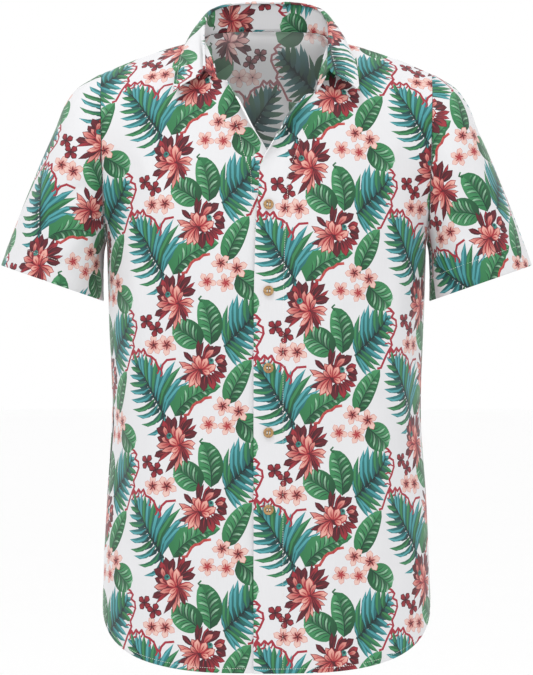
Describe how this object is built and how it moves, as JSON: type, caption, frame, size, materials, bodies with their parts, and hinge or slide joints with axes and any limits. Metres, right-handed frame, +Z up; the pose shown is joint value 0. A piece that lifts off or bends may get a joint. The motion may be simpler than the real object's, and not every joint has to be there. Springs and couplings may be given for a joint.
{
  "type": "hawaiian shirt",
  "caption": "Short-sleeved printed shirt in its worn shape, hollow, with a folded collar worn open, a buttoned front and a curved tail hem.",
  "frame": {"origin": "middle of the neck hole at the height of the shoulders, where the wearer carries the shirt", "axes": "+X towards the wearer's left, -Y towards the front, +Z up"},
  "size_m": [0.61, 0.2464, 0.7672],
  "materials": {
    "printed_cloth": "printed plain-weave cotton and rayon, soft sheen",
    "coconut_shell": "turned coconut shell, satin"
  },
  "bodies": {
    "root": {"front_left": "printed_cloth", "front_right": "printed_cloth", "back": "printed_cloth", "sleeve_left": "printed_cloth", "sleeve_right": "printed_cloth", "collar_stand": "printed_cloth", "collar_leaf": "printed_cloth", "button_1": "coconut_shell", "button_2": "coconut_shell", "button_3": "coconut_shell", "button_4": "coconut_shell", "button_5": "coconut_shell"}
  },
  "joints": []
}
